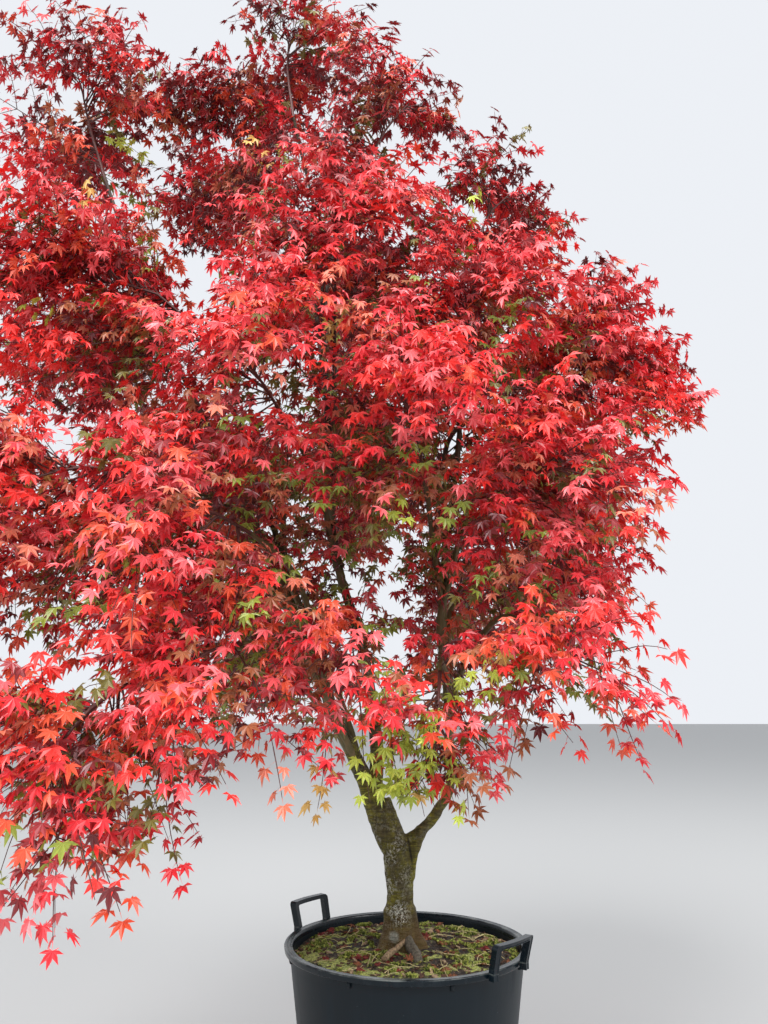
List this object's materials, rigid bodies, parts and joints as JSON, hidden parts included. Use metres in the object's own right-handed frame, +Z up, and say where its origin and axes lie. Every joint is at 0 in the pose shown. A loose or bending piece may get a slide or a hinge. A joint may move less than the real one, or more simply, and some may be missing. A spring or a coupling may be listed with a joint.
{
  "type": "potted japanese maple tree",
  "caption": "Garden tree in red autumn leaf: short trunk forked low, spreading boughs and layered foliage, standing in a round black nursery tub with lifting handles",
  "frame": {"origin": "the middle of the tub's flat underside, where it stands on the ground", "axes": "+X to the tree's right as seen from its front, +Y to its back, +Z up"},
  "size_m": [2.2488, 1.9552, 3.611],
  "materials": {
    "tub": "satin",
    "root_ball": "rough",
    "bark": "rough",
    "young_bark": "satin",
    "leaves_crimson": "satin",
    "leaves_deep_red": "satin",
    "leaves_bronze": "satin"
  },
  "bodies": {
    "root": {"bough_back_centre": "young_bark", "bough_back_high": "young_bark", "bough_back_high_right": "young_bark", "bough_back_low_left": "young_bark", "bough_back_low_right": "young_bark", "bough_back_right": "young_bark", "bough_centre": "young_bark", "bough_centre_left": "young_bark", "bough_dome_left": "young_bark", "bough_dome_right": "young_bark", "bough_far_left": "young_bark", "bough_front_high": "young_bark", "bough_front_right": "young_bark", "bough_leader": "bark", "bough_left_limb": "bark", "bough_left_middle": "young_bark", "bough_left_shoulder_back": "young_bark", "bough_low_centre": "young_bark", "bough_low_front": "young_bark", "bough_low_left": "young_bark", "bough_right_limb": "bark", "bough_right_low": "young_bark", "bough_right_middle": "young_bark", "bough_right_shoulder": "young_bark", "bough_upper_left": "young_bark", "bough_weeping_left": "young_bark", "bough_weeping_right": "young_bark", "foliage_back_centre": "leaves_crimson", "foliage_back_high": "leaves_deep_red", "foliage_back_high_right": "leaves_deep_red", "foliage_back_low_left": "leaves_bronze", "foliage_back_low_right": "leaves_bronze", "foliage_back_right": "leaves_crimson", "foliage_centre": "leaves_crimson", "foliage_centre_left": "leaves_crimson", "foliage_dome_left": "leaves_deep_red", "foliage_dome_right": "leaves_deep_red", "foliage_far_left": "leaves_crimson", "foliage_front_high": "leaves_crimson", "foliage_front_right": "leaves_crimson", "foliage_leader": "leaves_deep_red", "foliage_left_limb": "leaves_crimson", "foliage_left_middle": "leaves_crimson", "foliage_left_shoulder_back": "leaves_crimson", "foliage_low_centre": "leaves_crimson", "foliage_low_front": "leaves_crimson", "foliage_low_left": "leaves_crimson", "foliage_right_limb": "leaves_deep_red", "foliage_right_low": "leaves_bronze", "foliage_right_middle": "leaves_crimson", "foliage_right_shoulder": "leaves_crimson", "foliage_upper_left": "leaves_deep_red", "foliage_weeping_left": "leaves_crimson", "foliage_weeping_right": "leaves_crimson", "root_ball": "root_ball", "trunk": "bark", "tub": "tub", "tub_handle_left": "tub", "tub_handle_right": "tub"}
  },
  "joints": []
}
